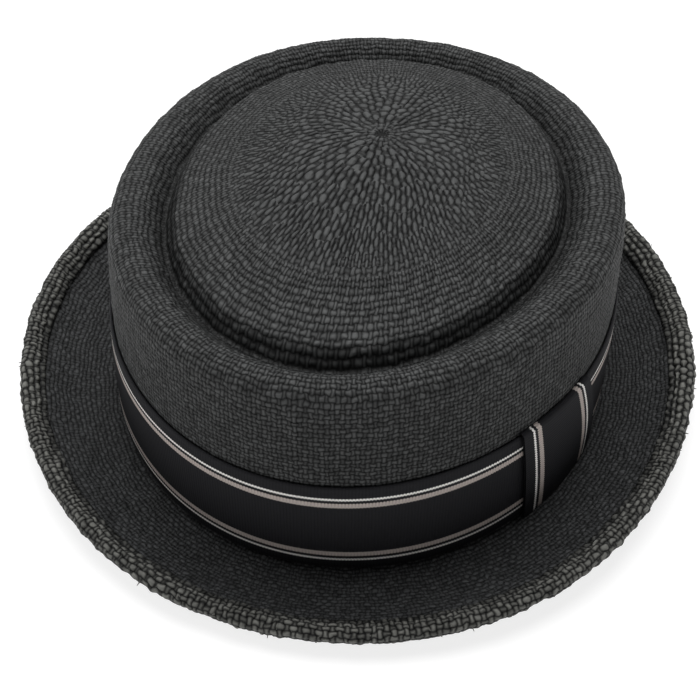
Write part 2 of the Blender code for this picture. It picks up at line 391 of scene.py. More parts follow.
class HatForm:
    """The hat's form worked out from its sizes, a turned line pressed to a head's oval."""

    def __init__(self, scene):
        sizes = scene.hat_sizes
        self.sizes = sizes
        self.weave = scene.hat_weave
        self.radius = (sizes.head_length + sizes.head_width) / 4
        self.oval = (sizes.head_length - sizes.head_width) / 4
        self.inset = (sizes.groove_inset_front + sizes.groove_inset_side) / 2
        uneven = (sizes.groove_inset_side - sizes.groove_inset_front) / 2
        self.groove_oval = self.oval + uneven
        self.valley = self.radius - self.inset
        self.wall_foot = sizes.straw_wall + sizes.break_round
        self.wall_top = sizes.crown_height - sizes.rim_round
        self.band_top = self.wall_foot + scene.hat_ribbon.lift + scene.hat_ribbon.width
        self.flat = self.radius + sizes.break_round + sizes.brim_flat
        self.tip_reach = self.valley + self.groove_oval + self.weave.pole_back
        self.middle = np.zeros(3)
        angles = np.linspace(0.0, TAU, 721)
        nose = self.press(self.radius + sizes.brim_reach, sizes.straw_wall / 2, angles)
        self.middle[:2] = (nose[:, :2].max(axis=0) + nose[:, :2].min(axis=0)) / 2
        wall = self.press(self.radius, EVEN_HEIGHT, angles)
        steps = np.linalg.norm(np.diff(wall, axis=0), axis=1)
        self.turn_shares = np.concatenate([[0.0], np.cumsum(steps)]) / steps.sum()
        self.turn_angles = angles

    def pole(self):
        """The middle of the weave, seen from above."""
        return np.array([self.weave.pole_side, self.weave.pole_back, 0.0]) - self.middle

    def angle_of(self, share):
        """The head angle of a share of the way round, in even steps along the crown."""
        whole = np.floor(share)
        return whole * TAU + np.interp(share - whole, self.turn_shares, self.turn_angles)

    def around(self, column, angle):
        """A column of STATIONS at these angles, on a smooth closed curve."""
        values = np.array([row[COLUMNS.index(column)] for row in STATIONS])
        place = np.degrees(angle) % 360 / 360 * len(values)
        row = np.floor(place).astype(int)
        t = place - row
        before, start, end, after = (values[(row + k) % len(values)] for k in (-1, 0, 1, 2))
        return 0.5 * (2 * start + (end - before) * t
                      + (2 * before - 5 * start + 4 * end - after) * t ** 2
                      + (3 * start - before - 3 * end + after) * t ** 3)

    def wall_share(self, z):
        """How far up the crown wall a height lies, 0 at its foot and 1 at its top."""
        return np.clip((z - self.wall_foot) / (self.wall_top - self.wall_foot), 0.0, 1.0)

    def wall_radius(self, z):
        """The round crown's outside at a height, with its slight bulge."""
        share = self.wall_share(z)
        return self.radius + self.sizes.crown_bulge * 4 * share * (1 - share)

    def turn_up(self, radius, z, angle):
        """The brim outside its flat ring, bent up from the flat disc."""
        sizes = self.sizes
        flat_reach = self.flat - self.radius
        along = np.maximum(radius - self.flat, 0.0)
        edge_start = sizes.brim_reach - flat_reach - sizes.edge_depth
        run = sizes.brim_reach * self.around("reach", angle) - flat_reach
        stretch = (run - sizes.edge_depth) / edge_start
        out = stretch * np.minimum(along, edge_start) + np.maximum(along - edge_start, 0.0)
        share = out / run
        rise = sizes.brim_rise * self.around("rise", angle)
        slope = rise / run * sizes.brim_curve * share ** (sizes.brim_curve - 1)
        offset = (z - sizes.straw_wall / 2) / np.hypot(slope, 1)
        up = sizes.straw_wall / 2 + rise * share ** sizes.brim_curve + offset
        bent = radius > self.flat
        return np.where(bent, self.flat + out - offset * slope, radius), np.where(bent, up, z)

    def press(self, radius, z, angle):
        """Points of the round hat, pressed to the head's oval with its lean and its play."""
        sizes = self.sizes
        radius, z, angle = np.broadcast_arrays(np.asarray(radius, float), z, angle)
        share = self.wall_share(z)
        inward = np.minimum(radius / self.radius, 1.0)
        foot = self.around("foot", angle)
        rim = self.around("rim", angle)
        play = sizes.oval_play * (foot + (rim - foot) * share) * inward
        groove = self.groove_oval * radius / self.valley
        slope = self.oval + (self.groove_oval - self.oval) * (self.radius - radius) / self.inset
        oval = np.where(radius >= self.radius, self.oval,
                        np.where(radius <= self.valley, groove, slope))
        out, up = self.turn_up(radius, z, angle)
        up = up + sizes.crown_lean * share * inward * np.cos(angle - sizes.lean_at)
        x = (out + play - oval) * np.sin(angle)
        y = -(out + play + oval) * np.cos(angle)
        return np.stack([x, y, up], axis=-1) - self.middle

    def wrap(self, line, columns):
        """A line of radii and heights carried once round the hat."""
        share = np.linspace(0.0, 1.0, columns + 1)[:, None]
        return self.press(line[None, :, 0], line[None, :, 1], self.angle_of(share))

    def crown_line(self):
        """The hood's outer line from the tip's middle to the crown's foot, and its valley."""
        sizes = self.sizes
        low = sizes.crown_height - sizes.groove_depth
        groove = [(self.radius - inset * self.inset, low + level * sizes.groove_depth)
                  for _, inset, level in GROOVE_ROWS]
        edge, level = groove[0]
        dome = [(edge * k / DOME_POINTS, level + sizes.dome_rise * (1 - (k / DOME_POINTS) ** 2))
                for k in range(DOME_POINTS)]
        rim = arc(self.radius - sizes.rim_round, self.wall_top, sizes.rim_round,
                  (90, 67.5, 45, 22.5, 0))
        heights = np.linspace(self.wall_top, self.wall_foot, 7)[1:]
        wall = [(float(self.wall_radius(z)), z) for z in heights]
        line = smooth_line(dome + groove + rim + wall, LINE_FILL)
        valley = [name for name, *_ in GROOVE_ROWS].index("valley")
        return line, (len(dome) + valley) * LINE_FILL


def chance(first, second):
    """A number from 0 to 1 for each pair of whole numbers, the same as the shader's."""
    value = 23.17 * np.sin(1.731 * first + 2.377 * second)
    value += 7.31 * np.sin(3.911 * first - 1.273 * second)
    return value - np.floor(value)


def weave_height(u, v, cover):
    """How high plain-woven strands stand at a place in strands and rows, 0 to about 1.

    Each strand shows as a chain of oval floats, every other one over its neighbours. A
    cover of 1 shows mostly the radial strands, -1 the round ones, and 0 both alike.
    """
    strand = np.floor(u)
    row = np.floor(v)
    du = u - strand - 0.5
    dv = v - row - 0.5
    top = np.zeros(np.broadcast(u, v).shape)
    for lane, off, run, start, side in (
            (strand, np.abs(du), v, WARP_START, 1),
            (strand + np.where(du < 0, -1, 1), 1 - np.abs(du), v, WARP_START, 1),
            (row, np.abs(dv), u, WEFT_START, -1),
            (row + np.where(dv < 0, -1, 1), 1 - np.abs(dv), u, WEFT_START, -1)):
        place = (run + lane) / 2 - start
        number = np.round(place)
        along = 2 * (place - number) / (FLOAT_LENGTH + side * COVER_LENGTH * cover)
        across = off / (FLOAT_WIDTH + side * COVER_WIDTH * cover)
        crown = 1 + side * COVER_RISE * cover + CHANCE_RISE * chance(lane, number + 9 * side)
        top = np.maximum(top, crown - along ** 2 - across ** 2)
    return top


class Sheet:
    """A grid of points in columns round the hat and rows across it, made into a mesh.

    place[column, row] holds the points, and the last column repeats the first. rows says
    how many rows of straw lie before each point, and strands gives the count of strands
    for rows and shares of the way round.
    """

    def __init__(self, place, strands, rows, cover, darkening=None):
        self.place = place
        self.facing = self.normals()
        self.strands = strands
        self.rows = rows
        self.cover = np.broadcast_to(cover, rows.shape)
        self.wander = np.zeros(rows.shape)
        self.sway = np.zeros(rows.shape)
        self.darkening = np.zeros(rows.shape) if darkening is None else darkening

    def normals(self):
        """The outward direction at each point, from its neighbours."""
        wide = np.concatenate([self.place[-2:-1], self.place, self.place[1:2]])
        across = wide[2:] - wide[:-2]
        along = np.gradient(self.place, axis=1)
        out = np.cross(along, across)
        size = np.linalg.norm(out, axis=-1, keepdims=True)
        return out / np.where(size < 1e-12, 1.0, size)

    def part(self, lines):
        """Some of the rows as a sheet of its own, facing as the whole does."""
        piece = Sheet(self.place[:, lines], self.strands, self.rows[:, lines],
                      self.cover[:, lines], self.darkening[:, lines])
        piece.facing = self.facing[:, lines]
        piece.wander = self.wander[:, lines]
        piece.sway = self.sway[:, lines]
        return piece


def weave_object(name, sheet, lift, wall, inner_step, closed, material):
    """Lift a sheet by its weave, give it the hood's wall and make it an object."""
    normals = sheet.facing
    face = sheet.place + normals * lift[..., None]
    face_rows = sheet.rows.shape[1]
    back_rows = np.unique(np.append(np.arange(0, face_rows, inner_step), face_rows - 1))[::-1]
    back = (sheet.place - normals * wall)[:, back_rows]
    order = np.concatenate([np.arange(face_rows), back_rows])
    place = np.concatenate([face, back], axis=1)
    if closed:
        order = np.append(order, 0)
        place = np.concatenate([place, face[:, :1]], axis=1)
    cap_rows = {0, face_rows - 1, face_rows, len(order) - 1 - int(closed)}
    return grid_object(name, place, sheet, order, cap_rows, material)


def grid_shape(place):
    """A grid with its points set. Each point keeps its spot in the grid."""
    columns = place.shape[0] - 1
    lines = place.shape[1] - 1
    shape = bmesh.new()
    bmesh.ops.create_grid(shape, x_segments=columns, y_segments=lines, size=0.5,
                          calc_uvs=False)
    spots = shape.verts.layers.int.new("spot")
    for vert in shape.verts:
        column = round((vert.co.x + 0.5) * columns)
        line = round((vert.co.y + 0.5) * lines)
        vert[spots] = column * (lines + 1) + line
        vert.co = place[column, line]
    return shape, spots


def grid_object(name, place, sheet, order, cap_rows, material):
    """A grid mesh with its points set, its seam merged and its weave map written."""
    lines = place.shape[1] - 1
    shape, spots = grid_shape(place)
    corners = np.array([vert[spots] for face in shape.faces for vert in face.verts])
    corners = corners.reshape(-1, 4)
    for edge in shape.edges:
        first, last = (vert[spots] % (lines + 1) for vert in edge.verts)
        if first == last and first in cap_rows:
            edge.smooth = False
    write_weave(shape, corners, sheet, order, lines)
    return finish_mesh(name, shape, material, sheet, order)


def write_weave(shape, corners, sheet, order, lines):
    """Each face's corners get their place in strands and rows, one strand count a face."""
    column = corners // (lines + 1)
    line = order[corners % (lines + 1)]
    share = column / (sheet.place.shape[0] - 1)
    rows = sheet.rows[column, line]
    counts = sheet.strands(rows.mean(axis=1), share.mean(axis=1))
    across = share * counts[:, None] + sheet.wander[column, line]
    down = rows + sheet.sway[column, line]
    weave = shape.loops.layers.uv.new("weave")
    for face, u, v in zip(shape.faces, across.tolist(), down.tolist()):
        for loop, a, b in zip(face.loops, u, v):
            loop[weave].uv = (a, b)


def finish_mesh(name, shape, material, sheet, order):
    """Close the seam, turn the shape outwards, write its cover and darkening and link it."""
    bmesh.ops.remove_doubles(shape, verts=shape.verts, dist=SAME_POINT)
    spots = shape.verts.layers.int["spot"]
    found = np.array([vert[spots] for vert in shape.verts])
    column = found // len(order)
    line = order[found % len(order)]
    shape.verts.layers.int.remove(spots)
    bmesh.ops.recalc_face_normals(shape, faces=shape.faces)
    mesh = bpy.data.meshes.new(name)
    shape.to_mesh(mesh)
    shape.free()
    for title, values in (("cover", sheet.cover), ("darkening", sheet.darkening)):
        layer = mesh.attributes.new(title, "FLOAT", "POINT")
        layer.data.foreach_set("value", values[column, line].astype(np.float32))
    mesh.polygons.foreach_set("use_smooth", np.ones(len(mesh.polygons), bool))
    mesh.materials.append(material)
    return link(name, mesh)


def link(name, mesh):
    """Put a finished mesh in the scene as an object that rides on the hat's body."""
    piece = bpy.data.objects.new(name, mesh)
    bpy.context.scene.collection.objects.link(piece)
    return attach(piece, "root") or piece


def tip_rows(form):
    """Shares of the tip's reach and the rows out to each, set wider near the pole."""
    weave = form.weave
    reach = np.linspace(0.0, 1.0, 401)
    pitch = np.interp(reach, PITCH_SHARES,
                      (weave.pole_pitch, weave.dome_pitch, weave.dome_pitch, weave.tip_pitch))
    line, valley_at = form.crown_line()
    level = np.interp(reach * form.valley, line[:valley_at + 1, 0], line[:valley_at + 1, 1])
    steps = np.hypot(np.diff(reach) * form.tip_reach, np.diff(level)) * 2
    return reach, np.concatenate([[0.0], np.cumsum(steps / (pitch[1:] + pitch[:-1]))])


def tip_strands(form):
    """The strand count of each face of the tip, by its uneven distance from the pole."""
    shares, counted = tip_rows(form)
    turns = np.linspace(0.0, 1.0, 361)
    edge = form.press(form.valley, form.wall_top, form.angle_of(turns)) - form.pole()
    spread = np.hypot(edge[:, 0], edge[:, 1])
    spread = spread / spread.max()
    starts = np.array([start for start, _ in TIP_STRANDS])
    counts = np.array([number for _, number in TIP_STRANDS])

    def strands(rows, share):
        uneven = sum((size * np.sin(share * TAU * waves + rows * turn)
                      for size, waves, turn in RINGS_UNEVEN), 1.0)
        reach = np.interp(rows, counted, shares)
        near = reach * (1 + ease(reach / POLE_LEADS) * (np.interp(share, turns, spread) - 1))
        even = ease((reach - RINGS_EVEN_FROM) / (RINGS_EVEN_AT - RINGS_EVEN_FROM))
        near = near + even * (reach - near)
        reach = near * np.where(reach > RINGS_EVEN_AT, 1.0, uneven)
        return counts[np.searchsorted(starts, reach, side="right") - 1]

    return strands


def groove_shade(away):
    """Painted shade in the groove: how much darker the weave is at a distance from the valley."""
    return GROOVE_SHADE * np.exp(-(away / GROOVE_REACH) ** 2)


def even_strands(number):
    """The same strand count on every face."""
    def strands(rows, share):
        return np.full(rows.shape, float(number))

    return strands


def jitter(sheet, amount):
    """Strands and rows that wander a little, slubs and slack in the weave."""
    sheet.wander = amount * stray(sheet.place, STRAND_STRAY)
    sheet.sway = amount * stray(sheet.place, ROW_STRAY)


def lift_of(sheet, relief):
    """How far each point of a sheet stands off its base, in metres."""
    columns = sheet.place.shape[0] - 1
    share = np.linspace(0.0, 1.0, columns + 1)[:, None]
    counts = sheet.strands(sheet.rows, np.broadcast_to(share, sheet.rows.shape))
    height = weave_height(share * counts + sheet.wander, sheet.rows + sheet.sway, sheet.cover)
    slub = 1 + stray(sheet.place, (SLUB,))
    return relief * (height * slub - SHEET_LEVEL)


def tip_sheet(form, start, end, columns, lines):
    """A ring of the tip between two shares of its reach, 0 at the weave's pole."""
    line, valley_at = form.crown_line()
    inner = line[:valley_at + 1]
    share = np.linspace(0.0, 1.0, columns + 1)
    angle = form.angle_of(share)
    edge = form.press(inner[-1, 0], inner[-1, 1], angle)
    pole = form.pole()
    away = edge - pole
    reach = np.hypot(away[:, 0], away[:, 1])
    bearing = np.unwrap(np.arctan2(away[:, 0], -away[:, 1]))
    t = np.linspace(start, end, lines + 1)[None, :]
    weight = ease(t / POLE_LEADS)
    level = reach.max()
    out = t * (level + weight * (reach[:, None] - level))
    turn = (1 - weight) * share[:, None] * TAU + weight * bearing[:, None]
    x = pole[0] + out * np.sin(turn)
    y = pole[1] - out * np.cos(turn)
    place = dome_points(form, inner, x, y)
    rows = np.broadcast_to(np.interp(t, *tip_rows(form)), place.shape[:2])
    return place, rows, t


def dome_points(form, inner, x, y):
    """Points of the tip's surface over places in the plan."""
    middle = form.middle
    px = x + middle[0]
    py = y + middle[1]
    angle = np.arctan2(px, -py)
    radius = np.hypot(px, py)
    for _ in range(PLAN_ROUNDS):
        play = form.sizes.oval_play * form.around("rim", angle) * radius / form.radius
        oval = form.groove_oval * radius / form.valley
        angle = np.arctan2(px * (radius + play + oval), -py * (radius + play - oval))
        near = np.abs(np.cos(angle)) > 0.7
        along = -py / np.where(near, np.cos(angle), 1.0) - play - oval
        across = px / np.where(near, 1.0, np.sin(angle)) - play + oval
        radius = np.where(near, along, across)
    z = np.interp(radius, inner[:, 0], inner[:, 1])
    lean = form.sizes.crown_lean * form.wall_share(z) * np.cos(angle - form.sizes.lean_at)
    z = z + lean * radius / form.radius
    return np.stack([x, y, z], axis=-1)


def feed(tree, node, links):
    """Link a node's inputs to other nodes, or set their values."""
    for place, value in links.items():
        if isinstance(value, bpy.types.Node):
            value = value.outputs[0]
        if isinstance(value, bpy.types.NodeSocket):
            tree.links.new(value, node.inputs[place])
        else:
            node.inputs[place].default_value = value


def put(tree, kind, links=None, **settings):
    """Add a node with its settings and links, and return it."""
    new = tree.nodes.new("ShaderNode" + kind)
    for key, value in settings.items():
        setattr(new, key, value)
    feed(tree, new, links or {})
    return new


def work_out(tree, known, sums):
    """Math nodes from a table of rows: result, operation, terms. Terms are names or numbers."""
    for result, operation, *terms in sums:
        links = {k: known.get(term, term) for k, term in enumerate(terms)}
        known[result] = put(tree, "Math", links, operation=operation)
    return known


def surface(name):
    """A new material, its tree and its shader."""
    made = bpy.data.materials.new(name)
    made.use_nodes = True
    return made, made.node_tree, made.node_tree.nodes["Principled BSDF"]


# The weave rule of weave_height as math nodes: what all four floats share
WEAVE_SUMS = (
    ("strand", "FLOOR", "u"),
    ("row", "FLOOR", "v"),
    ("u part", "FRACT", "u"),
    ("v part", "FRACT", "v"),
    ("u side", "SUBTRACT", "u part", 0.5),
    ("v side", "SUBTRACT", "v part", 0.5),
    ("u off", "ABSOLUTE", "u side"),
    ("v off", "ABSOLUTE", "v side"),
    ("u far", "SUBTRACT", 1.0, "u off"),
    ("v far", "SUBTRACT", 1.0, "v off"),
    ("u sign", "SIGN", "u side"),
    ("v sign", "SIGN", "v side"),
    ("next strand", "ADD", "strand", "u sign"),
    ("next row", "ADD", "row", "v sign"),
    ("warp length", "MULTIPLY_ADD", "cover", COVER_LENGTH, FLOAT_LENGTH),
    ("weft length", "MULTIPLY_ADD", "cover", -COVER_LENGTH, FLOAT_LENGTH),
    ("warp width", "MULTIPLY_ADD", "cover", COVER_WIDTH, FLOAT_WIDTH),
    ("weft width", "MULTIPLY_ADD", "cover", -COVER_WIDTH, FLOAT_WIDTH),
    ("warp crown", "MULTIPLY_ADD", "cover", COVER_RISE, 1.0),
    ("weft crown", "MULTIPLY_ADD", "cover", -COVER_RISE, 1.0),
)

# One float: its number on its strand or row, its chance and its height at this place
FLOAT_SUMS = (
    ("sum", "ADD", "run", "lane"),
    ("place", "MULTIPLY_ADD", "sum", 0.5, "start"),
    ("number", "ROUND", "place"),
    ("left", "SUBTRACT", "place", "number"),
    ("away", "MULTIPLY", "left", 2.0),
    ("along", "DIVIDE", "away", "length"),
    ("across", "DIVIDE", "off", "width"),
    ("along square", "MULTIPLY", "along", "along"),
    ("across square", "MULTIPLY", "across", "across"),
    ("second", "ADD", "number", "shift"),
    ("a", "MULTIPLY", "lane", 1.731),
    ("b", "MULTIPLY_ADD", "second", 2.377, "a"),
    ("c", "SINE", "b"),
    ("d", "MULTIPLY", "lane", 3.911),
    ("e", "MULTIPLY_ADD", "second", -1.273, "d"),
    ("f", "SINE", "e"),
    ("g", "MULTIPLY", "f", 7.31),
    ("h", "MULTIPLY_ADD", "c", 23.17, "g"),
    ("chance", "FRACT", "h"),
    ("top", "MULTIPLY_ADD", "chance", CHANCE_RISE, "crown"),
    ("less", "SUBTRACT", "top", "along square"),
    ("level", "SUBTRACT", "less", "across square"),
)

# The four floats of a place, each with the names of its terms
FLOATS = (
    ("warp", "strand", "u off", "v", -WARP_START, 9.0),
    ("warp", "next strand", "u far", "v", -WARP_START, 9.0),
    ("weft", "row", "v off", "u", -WEFT_START, -9.0),
    ("weft", "next row", "v far", "u", -WEFT_START, -9.0),
)

# Which float is on top, and how far it stands over the next one, the seam between them
TOP_SUMS = (
    ("warp", "MAXIMUM", "level 0", "level 1"),
    ("weft", "MAXIMUM", "level 2", "level 3"),
    ("low warp", "MINIMUM", "level 0", "level 1"),
    ("low weft", "MINIMUM", "level 2", "level 3"),
    ("top", "MAXIMUM", "warp", "weft"),
    ("height", "MAXIMUM", "top", 0.0),
    ("under", "MINIMUM", "warp", "weft"),
    ("low", "MAXIMUM", "low warp", "low weft"),
    ("next", "MAXIMUM", "under", "low"),
    ("drop", "SUBTRACT", "top", "next"),
    ("over", "GREATER_THAN", "warp", "weft"),
    ("warp step", "SUBTRACT", "chance 0", "chance 1"),
    ("weft step", "SUBTRACT", "chance 2", "chance 3"),
    ("warp own", "GREATER_THAN", "level 0", "level 1"),
    ("weft own", "GREATER_THAN", "level 2", "level 3"),
    ("warp chance", "MULTIPLY_ADD", "warp own", "warp step", "chance 1"),
    ("weft chance", "MULTIPLY_ADD", "weft own", "weft step", "chance 3"),
    ("chance step", "SUBTRACT", "warp chance", "weft chance"),
    ("chance", "MULTIPLY_ADD", "over", "chance step", "weft chance"),
)


def straw_material(name, light, dark, strand_mm, row_mm, relief, seam):
    """Paper straw: strands of twisted paper, matt with a soft sheen along their creases.

    The eye sees rounded floats of slightly different greys, fine creases along each
    strand and dark gaps where strands dive under one another. The dark of the gaps and
    seams and of each float's sides is painted shade, worked out from the weave's height.
    """
    made, tree, shader = surface(name)
    where = put(tree, "UVMap", uv_map="weave")
    parts = put(tree, "SeparateXYZ", {0: where})
    cover = put(tree, "Attribute", attribute_name="cover")
    darkening = put(tree, "Attribute", attribute_name="darkening")
    known = {"u": parts.outputs[0], "v": parts.outputs[1], "cover": cover.outputs["Fac"]}
    known = work_out(tree, known, WEAVE_SUMS)
    for k, (side, lane, off, run, start, shift) in enumerate(FLOATS):
        terms = {"lane": known[lane], "off": known[off], "run": known[run], "start": start,
                 "shift": shift, "length": known[side + " length"],
                 "width": known[side + " width"], "crown": known[side + " crown"]}
        found = work_out(tree, terms, FLOAT_SUMS)
        known["level %d" % k] = found["level"]
        known["chance %d" % k] = found["chance"]
    known = work_out(tree, known, TOP_SUMS)
    warp_scale = (strand_mm / CREASE_WIDTH_MM, row_mm / CREASE_LENGTH_MM, 1.0)
    weft_scale = (strand_mm / CREASE_LENGTH_MM, row_mm / CREASE_WIDTH_MM, 1.0)
    warp_place = put(tree, "VectorMath", {0: where, 1: warp_scale}, operation="MULTIPLY")
    weft_place = put(tree, "VectorMath", {0: where, 1: weft_scale}, operation="MULTIPLY")
    crease_place = put(tree, "Mix", {0: known["over"], 4: weft_place, 5: warp_place},
                       data_type="VECTOR")
    crease = put(tree, "TexNoise", {"Vector": crease_place.outputs[1], "Scale": 1.0,
                                    "Detail": 2.0, "Roughness": 0.6})
    object_place = put(tree, "TexCoord").outputs["Object"]
    # Patches of paper 12 mm across took the dye a little differently
    patch = put(tree, "TexNoise", {"Vector": object_place, "Scale": 80.0, "Detail": 2.0})
    sums = (
        ("shade chance", "MULTIPLY_ADD", "chance", 0.32, 0.84),
        ("shade crease", "MULTIPLY_ADD", "crease", 0.75, 0.62),
        ("shade patch", "MULTIPLY_ADD", "patch", 0.40, 0.80),
        ("shade a", "MULTIPLY", "shade chance", "shade crease"),
        ("shade b", "MULTIPLY", "shade a", "shade patch"),
        # Painted shade in the seams, darkest where one float barely stands over the next
        ("seam", "DIVIDE", "drop", 0.85),
        ("seam share", "MINIMUM", "seam", 1.0),
        ("seam shade", "MULTIPLY_ADD", "seam share", 1 - seam, seam),
        ("shade", "MULTIPLY", "shade b", "seam shade"),
        # The darkening paints shade in the groove and the pole's dimple, and gives the edge its
        # darker first row
        ("open", "SUBTRACT", 1.0, "darkening"),
        ("level", "MULTIPLY", "height", "open"),
        ("tone", "MULTIPLY", "level", 0.85),
        ("bump", "MULTIPLY_ADD", "crease", 0.22, "level"),
        ("rough", "MULTIPLY_ADD", "crease", 0.20, 0.52),
    )
    known.update({"crease": crease.outputs["Fac"], "patch": patch.outputs["Fac"],
                  "darkening": darkening.outputs["Fac"]})
    known = work_out(tree, known, sums)
    # The ramp paints shade: the straw's own colour on the floats' tops, darker down their sides
    # and darkest in the gaps
    ramp = put(tree, "ValToRGB", {0: known["tone"]})
    ramp.color_ramp.interpolation = "LINEAR"
    ramp.color_ramp.elements[0].position = 0.38
    ramp.color_ramp.elements[0].color = (*dark, 1.0)
    ramp.color_ramp.elements[1].position = 1.0
    ramp.color_ramp.elements[1].color = (*light, 1.0)
    shaded = put(tree, "VectorMath", {0: ramp, 3: known["shade"]}, operation="SCALE")
    bump = put(tree, "Bump", {"Height": known["bump"], "Distance": relief, "Strength": 1.0})
    feed(tree, shader, {"Base Color": shaded, "Roughness": known["rough"], "Normal": bump,
                        "Specular IOR Level": MATT})
    return made


def fray_material(colour):
    """Torn paper straw: the eye sees stiff matt ends, each a little lighter or darker."""
    made, tree, shader = surface("torn_paper_straw")
    place = put(tree, "TexCoord").outputs["Object"]
    # Frays lie about 5 mm apart, so a noise of that size gives each its own grey
    noise = put(tree, "TexNoise", {"Vector": place, "Scale": 200.0, "Detail": 1.0})
    known = work_out(tree, {"noise": noise.outputs["Fac"]},
                     (("shade", "MULTIPLY_ADD", "noise", 1.2, 0.3),))
    shaded = put(tree, "VectorMath", {0: tuple(colour), 3: known["shade"]}, operation="SCALE")
    feed(tree, shader, {"Base Color": shaded, "Roughness": 0.7, "Specular IOR Level": MATT})
    return made


def ribbon_material(ribbon, colours):
    """Grosgrain: a rayon ribbon with close cross ribs, black with woven stripes.

    Each rib gets a painted soft line of light on its crest, and the pale threads show every rib.
    """
    made, tree, shader = surface("grosgrain_ribbon")
    where = put(tree, "UVMap", uv_map="weave")
    parts = put(tree, "SeparateXYZ", {0: where})
    half = ribbon.width * 500
    margin = ribbon.margin * 1000
    line = margin + ribbon.line * 1000
    space = line + ribbon.space * 1000
    stripe = space + ribbon.stripe * 1000
    rib = ribbon.rib * 1000
    thread_place = put(tree, "VectorMath", {0: where, 1: THREAD_SCALE}, operation="MULTIPLY")
    thread = put(tree, "TexNoise", {"Vector": thread_place, "Scale": 1.0, "Detail": 1.0})
    sums = (
        ("rib turn", "MULTIPLY", "x", math.pi / rib),
        ("rib sine", "SINE", "rib turn"),
        ("rib", "ABSOLUTE", "rib sine"),
        ("from middle", "SUBTRACT", "y", half),
        ("off middle", "ABSOLUTE", "from middle"),
        ("from edge", "SUBTRACT", half, "off middle"),
        ("waver", "MULTIPLY_ADD", "rib", 0.40, "from edge"),
        ("share", "DIVIDE", "waver", half),
        ("thread bump", "MULTIPLY", "thread", 0.35),
        ("bump", "ADD", "rib", "thread bump"),
        # Painted light: each rib's crest is lighter in colour and the ground between ribs darker
        ("painted rib light", "MULTIPLY_ADD", "rib", 0.30, 0.66),
        ("dim", "MULTIPLY_ADD", "thread", 0.30, "painted rib light"),
    )
    known = {"x": parts.outputs[0], "y": parts.outputs[1], "thread": thread.outputs["Fac"]}
    known = work_out(tree, known, sums)
    ramp = put(tree, "ValToRGB", {0: known["share"]})
    bands = ramp.color_ramp
    bands.interpolation = "CONSTANT"
    stops = ((0.0, colours.ribbon_black), (margin / half, colours.ribbon_line),
             (line / half, colours.ribbon_black), (space / half, colours.ribbon_stripe),
             (stripe / half, colours.ribbon_black))
    while len(bands.elements) < len(stops):
        bands.elements.new(0.5)
    for element, (position, colour) in zip(bands.elements, stops):
        element.position = position
        element.color = (*colour, 1.0)
    shaded = put(tree, "VectorMath", {0: ramp, 3: known["dim"]}, operation="SCALE")
    bump = put(tree, "Bump", {"Height": known["bump"], "Distance": 0.00008, "Strength": 1.0})
    feed(tree, shader, {"Base Color": shaded, "Normal": bump, "Roughness": 0.75,
                        "Specular IOR Level": MATT})
    return made


def straw_surface(scene, name, light, strands, row, lift, seam):
    """The straw material by name, made once. A low seam paints dark shade between floats."""
    if name in bpy.data.materials:
        return bpy.data.materials[name]
    pitch = TAU * HatForm(scene).radius / strands
    return straw_material(name, light, scene.hat_colours.gap_shade, pitch * 1000, row * 1000,
                          scene.hat_weave.relief * lift, seam)


class HAT_OT_tip(Operator):
    """Build the domed tip, from the weave's pole out to the valley of the groove."""

    bl_idname = "hat.tip"
    bl_label = "Tip"

    def execute(self, context):
        scene = context.scene
        form = HatForm(scene)
        weave = scene.hat_weave
        straw = straw_surface(scene, "paper_straw_crown", scene.hat_colours.straw_light,
                              weave.strands, weave.rim_pitch, 1.0, CROWN_SEAM)
        for name, start, end in (("straw_tip_middle", 0.0, RINGS_MEET),
                                 ("straw_tip_border", RINGS_MEET, 1.0)):
            columns, lines, step = MESHES[name]
            place, rows, share = tip_sheet(form, start, end, columns, lines)
            rise, sink = (ease((share - low) / (high - low))
                          for low, high in (RADIAL_RISE, RADIAL_SINK))
            cover = rise * (1 - sink) + BASE_COVER
            pole = form.pole()
            away = np.hypot(place[..., 0] - pole[0], place[..., 1] - pole[1])
            dimple = np.exp(-(away / weave.pole_round) ** 4)
            # Painted shade: the weave is darker in the pole's dimple and in the groove, where
            # shade falls
            darkening = dimple + groove_shade((1 - share) * form.tip_reach)
            sheet = Sheet(place, tip_strands(form), rows, cover, darkening)
            jitter(sheet, 0.8)
            sheet.wander = sheet.wander * ease(share / POLE_REST)
            lift = lift_of(sheet, weave.relief) - weave.pole_dip * dimple
            # The two rings level out where they meet, so that no step shows between them
            lift = lift * ease(np.abs(share - RINGS_MEET) / RINGS_LEVEL)
            piece = weave_object(name, sheet, lift, form.sizes.straw_wall, step, start > 0, straw)
            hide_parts("straw_body")
        return {"FINISHED"}


